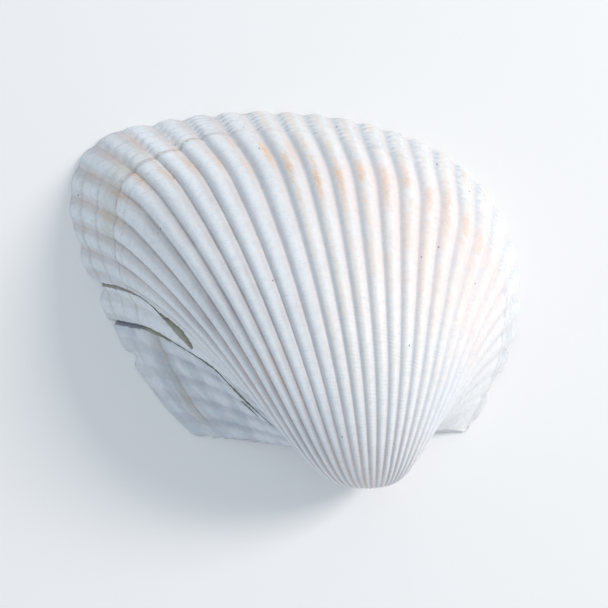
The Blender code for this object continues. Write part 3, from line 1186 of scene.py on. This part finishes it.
    def speck(self, surface: Surface, colour: Field) -> Field:
        """A pink and blue-grey grain all over, and some tiny dark specks.

        Args:
            surface: the tree and what varies over the shell.
            colour: the colour so far.

        Returns:
            The finished colour.
        """
        board, ink = surface.board, self.palette
        fine = board.noise(surface.place, 2400.0, 3.0, 0.6)
        cells = board.add("ShaderNodeTexVoronoi", {"Vector": surface.place, "Scale": 460.0})
        pick, _, _ = board.split(board.out(cells, "Color"))
        dot = (1.0 - board.out(cells, "Distance").smooth(0.035, 0.08)) * pick.smooth(0.50, 0.52)
        return board.layered(colour, (
            (fine.smooth(0.53, 0.68) * 0.34, ink.blush),
            (fine.smooth(0.47, 0.32) * 0.34, ink.cool),
            (dot * 0.75, ink.soot),
        ))


class PorcelainInside(Finish):
    """The smooth, faintly glossy inner side."""

    def paint(self, surface: Surface) -> tuple[Field, Operand]:
        """Porcelain white, creamier under the beak and greyer in the muscle scars."""
        board, ink = surface.board, self.palette
        colour = board.tint(surface.cloud * 0.3, ink.porcelain, ink.chalk)
        colour = board.tint((1.0 - surface.pattern.size.smooth(0.35, 0.75)) * 0.6, colour, ink.cream)
        scars = surface.pattern.scars(1.3, 0.8)
        colour = board.tint(scars * 0.4, colour, ink.cool)
        return colour, self.roughness + scars * 0.15


class RimFinish(Finish):
    """The worn rim and the toothed hinge plate."""

    def paint(self, surface: Surface) -> tuple[Field, Operand]:
        """Porcelain clouded with a little cream."""
        colour = surface.board.tint(surface.cloud * 0.5, self.palette.porcelain, self.palette.cream)
        return colour, surface.grain * 0.2 + self.roughness


class CrackFaceTone(Finish):
    """The broken faces of the cracks, in olive grey and lavender grey."""

    # Where the broken faces turn from the first tone to the second, in mm in the frame.
    ALONG: Point = (-19.5, -21.0)
    UP: Point = (1.0, -1.5)

    def paint(self, surface: Surface) -> tuple[Field, Operand]:
        """Olive brown, turning lavender grey towards the margin."""
        x, y, _ = surface.board.split(surface.place)
        outer, low = (at.smooth(a * MM, b * MM) for at, (a, b) in ((x, self.ALONG), (y, self.UP)))
        outer = outer * (low * 0.75 + 0.25)
        colour = surface.board.tint(outer, self.palette.olive, self.palette.lavender)
        return colour, surface.grain * 0.2 + (self.roughness - 0.1)


@dataclass
class Valve:
    """The whole shell half: one closed skin with its two old cracks."""

    margin: Margin = field(default_factory=Margin)
    sizes: GrowthSizes = field(default_factory=GrowthSizes)
    sway: Sway = field(default_factory=Sway)
    phases: tuple[float, ...] = (0.0, 0.05, 0.12, 0.23, 0.37, 0.52, 0.68, 0.83, 0.94)
    tooth_columns: int = 4
    hinge_span: float = 10.0
    cracks: tuple[Crack, ...] = (
        Crack(
            "upper_crack",
            (
                (-26.8, 20.1), (-25.8, 19.9), (-24.2, 19.6), (-22.8, 19.2), (-20.9, 18.4), (-19.3, 17.3),
                (-18.1, 16.1), (-16.7, 14.9), (-15.2, 13.4), (-13.6, 11.4),
            ),
            (0.4, 0.45, 0.5, 0.4, 0.12, 0.08, 0.25, 0.7, 1.05, 0.4),
        ),
        Crack(
            "lower_crack",
            (
                (-25.2, 14.9), (-23.8, 14.8), (-22.1, 14.5), (-20.1, 14.1), (-18.5, 13.4), (-16.2, 12.2),
                (-14.2, 11.0), (-12.1, 9.7), (-10.5, 8.5),
            ),
            (0.7, 0.7, 0.65, 0.55, 0.5, 0.14, 0.08, 0.2, 0.15), depth=0.25, slot=0.45,
        ),
        Crack(
            "furrow",
            ((-12.1, 9.7), (-10.5, 8.5), (-9.1, 7.0), (-7.0, 4.8), (-5.3, 3.2), (-3.2, 1.2)),
            (0.22, 0.2, 0.12, 0.32, 0.10, 0.06), depth=0.22, slot=0.4,
        ),
        Crack("chip", ((-7.2, 4.4), (-6.2, 3.5), (-5.0, 2.3)), (0.08, 0.18, 0.05), depth=0.2, slot=0.35),
    )

    @staticmethod
    def materials(groups: ShellGroups) -> dict[Sheet, bpy.types.Material]:
        """The finish of each sheet of the skin."""
        outside = BleachedOutside("bleached_outside", groups, roughness=0.55, bump=0.5, bump_depth=0.06)
        return {
            Sheet.OUTER: outside.build(),
            Sheet.RIM: RimFinish("worn_rim", groups, roughness=0.38, bump=0.25).build(),
            Sheet.INNER: PorcelainInside("porcelain_inside", groups, roughness=0.28, bump=0.15).build(),
        }

    def shift(self) -> tuple[float, float]:
        """Where mid-length and the hinge line lie in the frame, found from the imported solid's box."""
        low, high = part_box("valve")
        middle = (low.x + high.x) / 2
        top = max(y for _, y in rounded(self.margin.outline))
        return middle, high.y - top * MM

    def bare_grid(self) -> bpy.types.Object:
        """The unshaped skin: a ring of points for each row and a pole at each end.

        Returns:
            The grid as an object, with what the growth tree reads on its points.
        """
        sizes = self.sizes
        rows = Rows.laid(sizes.beak, sizes.hollow_end)
        columns = Columns.laid(
            self.margin, self.sway, rows.size, self.phases, self.tooth_columns, self.hinge_span
        )
        wide, long = len(columns.count), len(rows.size)
        ring = np.arange(wide)
        nxt = (ring + 1) % wide
        faces = [
            np.stack([r * wide + ring, r * wide + nxt, (r + 1) * wide + nxt, (r + 1) * wide + ring], 1)
            for r in range(long - 1)
        ]
        quads = np.vstack(faces)
        tip, deep = wide * long, wide * long + 1
        end = (long - 1) * wide
        caps = np.vstack([
            np.stack([ring * 0 + tip, nxt, ring], 1), np.stack([ring * 0 + deep, end + ring, end + nxt], 1),
        ])
        mesh = bpy.data.meshes.new("valve_grid")
        mesh.from_pydata(np.zeros((wide * long + 2, 3)).tolist(), [], quads.tolist() + caps.tolist())
        self.store(mesh, columns, rows)
        self.chart(mesh, columns, rows)
        return placed("valve_grid", mesh)

    def store(self, mesh: bpy.types.Mesh, columns: Columns, rows: Rows) -> None:
        """Stores what the growth tree reads, point by point.

        Args:
            mesh: the bare grid.
            columns: values of each column.
            rows: values of each row.
        """
        wide, long = len(columns.count), len(rows.size)
        shift = self.shift()
        focus = (*self.margin.focus, 0.0)
        poles = (self.sizes.beak * self.sizes.hollow_depth, self.sizes.hollow_end * self.sizes.hollow_depth)

        def spread(values: np.ndarray, poles: tuple[float, float]) -> np.ndarray:
            """A value for each point from one for each column, row or both."""
            grid = np.broadcast_to(values, (long, wide)).ravel()
            return np.append(grid, poles)

        def vectors(values: np.ndarray, pole: Sequence[float]) -> np.ndarray:
            """Flat vectors for each point from rows by columns."""
            flat = np.vstack([values.reshape(-1, 2), [pole[:2]] * 2])
            return np.column_stack([flat, np.zeros(len(flat))])

        numbers = {
            "count": spread(columns.count, (0, 0)),
            "strength": spread(columns.strength, (0, 0)),
            "shoulder": spread(columns.shoulder, (0, 0)),
            "hinge": spread(columns.hinge, (0.5, 0.5)),
            "wall": spread(columns.wall * MM, (0, 0)),
            "size": spread(rows.size[:, None], poles),
            "across": spread(rows.across[:, None], (0, 1)),
            "sheet": spread(rows.sheet[:, None], (0, 2)),
        }
        for name, values in numbers.items():
            mesh.attributes.new(name, "FLOAT", "POINT").data.foreach_set("value", values.astype(np.float32))
        everywhere = np.tile((*shift, 0.0), (wide * long + 2, 1))
        for name, values in {
            "point": vectors(columns.point, focus) * MM,
            "outward": vectors(columns.outward, (0, 0)),
            "inward": vectors(columns.inward, (0, 0)),
            "centre": everywhere,
        }.items():
            made = mesh.attributes.new(name, "FLOAT_VECTOR", "POINT")
            made.data.foreach_set("vector", values.astype(np.float32).ravel())

    def chart(self, mesh: bpy.types.Mesh, columns: Columns, rows: Rows) -> None:
        """The surface map: rib count across and size of the growth line up, with no jump in a face.

        Args:
            mesh: the bare grid.
            columns: values of each column.
            rows: values of each row.
        """
        wide, long = len(columns.count), len(rows.size)
        turn = self.margin.ribs + self.hinge_span
        corners = np.empty(len(mesh.loops), np.int64)
        mesh.loops.foreach_get("vertex_index", corners)
        column, row = corners % wide, np.minimum(corners // wide, long - 1)
        across, up = columns.count[column], rows.size[row]
        starts = np.empty(len(mesh.polygons), np.int64)
        mesh.polygons.foreach_get("loop_start", starts)
        owner = np.repeat(np.arange(len(starts)), np.diff(np.append(starts, len(corners))))
        widest = np.zeros(len(starts))
        np.maximum.at(widest, owner, np.where(corners < wide * long, across, 0))
        closing = (widest[owner] > turn - 1) & (across < 1)
        across = np.where(closing, across + turn, across)
        layer = mesh.uv_layers.new(name=SURFACE_MAP)
        layer.data.foreach_set("uv", np.stack([across, up], 1).astype(np.float32).ravel())

    def cracked(self, piece: bpy.types.Object, face_tone: bpy.types.Material) -> None:
        """Cuts the cracks into the wall and keeps the result as the piece's mesh.

        Args:
            piece: the grown valve.
            face_tone: the finish of the broken faces.
        """
        bpy.context.view_layer.update()
        skin = BVHTree.FromObject(piece, bpy.context.evaluated_depsgraph_get())
        blades = [crack.blade(self.shift(), skin, face_tone) for crack in self.cracks]
        for blade in blades:
            cut = piece.modifiers.new(blade.name, "BOOLEAN")
            cut.operation = "DIFFERENCE"
            cut.solver = "EXACT"
            cut.material_mode = "TRANSFER"
            cut.object = blade
        mesh = applied(piece)
        piece.modifiers.clear()
        piece.data = mesh
        for blade in blades:
            bpy.data.objects.remove(blade)

    def build(self) -> bpy.types.Object:
        """Grows, cracks and dresses the valve.

        Returns:
            The finished piece.
        """
        groups = ShellGroups()
        grid = self.bare_grid()
        mesh = GrowthTree(self.sizes, self.margin, self.materials(groups)).grow(grid)
        stored = [layer.name for layer in grid.data.attributes if layer.domain == "POINT"]
        bpy.data.objects.remove(grid)
        piece = placed("ark_valve", mesh)
        self.cracked(piece, CrackFaceTone("crack_face_tone", groups, roughness=0.8).build())
        for spare in stored:
            found = piece.data.attributes.get(spare)
            if found and spare != "position":
                piece.data.attributes.remove(found)
        piece.data.shade_smooth()
        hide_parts("valve")
        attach(piece, "root")
        return piece


@dataclass(frozen=True)
class SoftLight:
    """A soft square light that faces the valve; place and size in metres, power in watts."""

    name: str
    place: tuple[float, float, float]
    size: float
    power: float
    colour: tuple[float, float, float]

    def build(self) -> bpy.types.Object:
        """Places the light."""
        data = bpy.data.lights.new(self.name, "AREA")
        data.size, data.energy, data.color = self.size, self.power, self.colour
        made = placed(self.name, data)
        made.location = self.place
        aim = made.location.copy() * -1.0
        made.rotation_euler = aim.to_track_quat("-Z", "Y").to_euler()
        return made


@dataclass(frozen=True)
class Studio:
    """Pale floor, soft lights and the camera square above the valve.

    The pixels are places in the photo that the camera has to meet; length is in mm, the lens's sensor too,
    and the rest in metres.
    """

    picture: int = 608
    centre_pixel: Point = (304.0, 304.0)
    mid_length_pixel: float = 295.5
    hinge_pixel: float = 433.0
    length_pixels: float = 447.0
    length: float = 60.0
    distance: float = 0.6
    sensor: float = 36.0
    floor_half: float = 1.5
    floor_gap: float = 0.00005
    floor_colour: tuple[float, ...] = (0.96, 0.96, 0.96, 1.0)
    floor_roughness: float = 0.9
    sky_colour: tuple[float, ...] = (0.85, 0.925, 1.0, 1.0)
    sky_strength: float = 0.63
    lights: tuple[SoftLight, ...] = (
        SoftLight("key", (0.53, 0.20, 0.35), 0.20, 2.9, (1.0, 0.945, 0.89)),
        SoftLight("fill", (-0.45, 0.25, 0.25), 0.6, 0.12, (0.85, 0.92, 1.0)),
    )

    def scale(self) -> float:
        """Metres to a pixel of the photo."""
        return self.length * MM / self.length_pixels

    def camera(self, shift: Sequence[float]) -> bpy.types.Object:
        """The camera, looking straight down at the rim's plane.

        Args:
            shift: where the outline's zero point lies, in metres.

        Returns:
            The camera, set as the scene's.
        """
        data = bpy.data.cameras.new("camera")
        data.sensor_width = self.sensor
        data.lens = self.sensor * self.distance / (self.scale() * self.picture)
        made = placed("camera", data)
        x = (self.centre_pixel[0] - self.mid_length_pixel) * self.scale() + shift[0]
        y = (self.hinge_pixel - self.centre_pixel[1]) * self.scale() + shift[1]
        made.location = (x, y, self.distance)
        bpy.context.scene.camera = made
        return made

    def floor(self) -> bpy.types.Object:
        """A pale floor just under the rim."""
        made = bmesh.new()
        bmesh.ops.create_grid(made, x_segments=1, y_segments=1, size=self.floor_half)
        mesh = bpy.data.meshes.new("floor")
        made.to_mesh(mesh)
        made.free()
        paper = bpy.data.materials.new("pale_floor")
        paper.use_nodes = True
        shader = paper.node_tree.nodes["Principled BSDF"]
        shader.inputs["Base Color"].default_value = self.floor_colour
        shader.inputs["Roughness"].default_value = self.floor_roughness
        mesh.materials.append(paper)
        floor = placed("floor", mesh)
        floor.location.z = -self.floor_gap
        return floor

    def build(self, shift: Sequence[float]) -> None:
        """Sets up everything around the valve."""
        self.camera(shift)
        self.floor()
        for light in self.lights:
            light.build()
        world = bpy.data.worlds.new("world")
        world.use_nodes = True
        sky = world.node_tree.nodes["Background"]
        sky.inputs["Color"].default_value = self.sky_colour
        sky.inputs["Strength"].default_value = self.sky_strength
        bpy.context.scene.world = world
        bpy.context.scene.view_settings.view_transform = "Standard"


def main() -> None:
    """Builds the valve and its studio, in order."""
    logging.basicConfig(level=logging.INFO, format="%(name)s: %(message)s")
    valve = Valve()
    piece = valve.build()
    piece.data.calc_loop_triangles()
    LOG.info("%s: %d triangles", piece.name, len(piece.data.loop_triangles))
    Studio().build(valve.shift())
    LOG.info("studio: camera, floor and lights")


if __name__ == "__main__":
    main()
